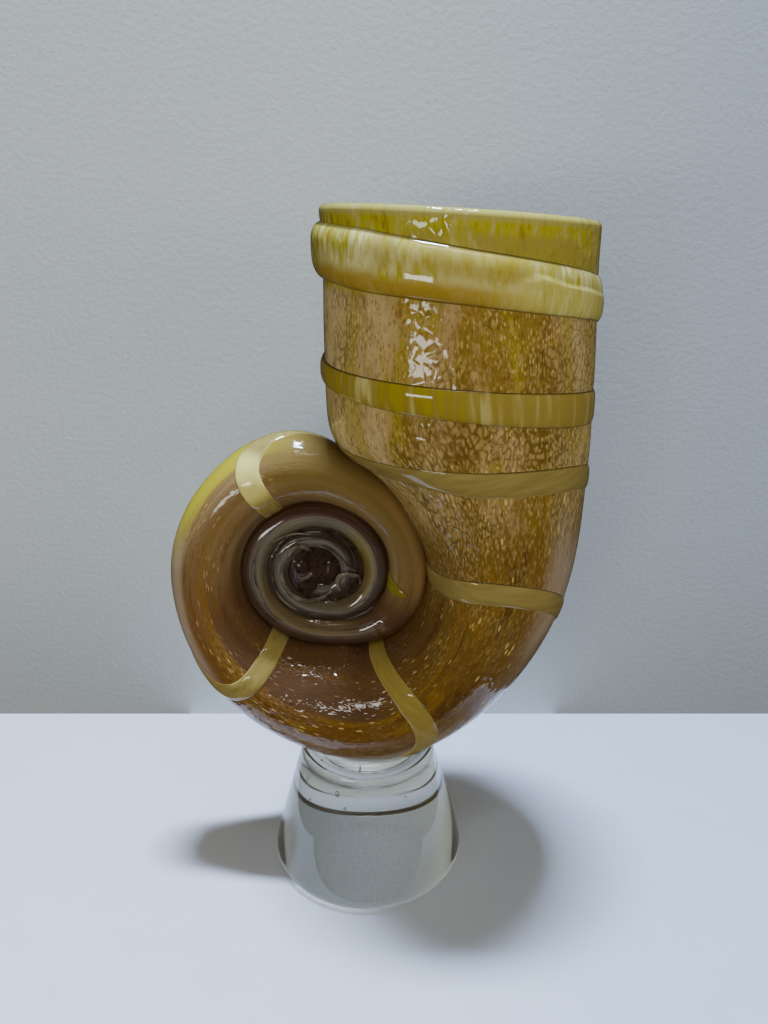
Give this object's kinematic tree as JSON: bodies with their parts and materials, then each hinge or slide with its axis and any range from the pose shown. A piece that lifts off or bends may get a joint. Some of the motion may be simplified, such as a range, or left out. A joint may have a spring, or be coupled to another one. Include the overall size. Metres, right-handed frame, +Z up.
{
  "type": "ammonite-shaped blown glass vase on a clear foot",
  "caption": "Hand-blown art-glass vase shaped like an ammonite: a hollow amber horn that coils up beside its open mouth, wound with a yellow thread, on a solid clear glass foot.",
  "frame": {"origin": "centre of the round flat face under the foot", "axes": "+Z up through the foot, +X towards the side under the mouth, -X towards the coil, which is seen face-on from -Y"},
  "size_m": [0.1841, 0.1155, 0.3045],
  "materials": {
    "amber_glass": "blown amber and olive glass with chips of cream, gold and brown glass under a clear glossy skin",
    "yellow_glass": "glossy olive-yellow glass laid on hot as a thread, mottled with cream near the mouth",
    "smoky_glass": "glossy clear glass drawn out to a tail, smoky grey and olive, with brown glass inside it",
    "clear_glass": "solid clear glass, glossy, with a few bubbles and a polished flat underside"
  },
  "bodies": {
    "root": {"horn": "amber_glass", "trail": "yellow_glass", "coil_tail": "smoky_glass", "foot": "clear_glass"}
  },
  "joints": []
}
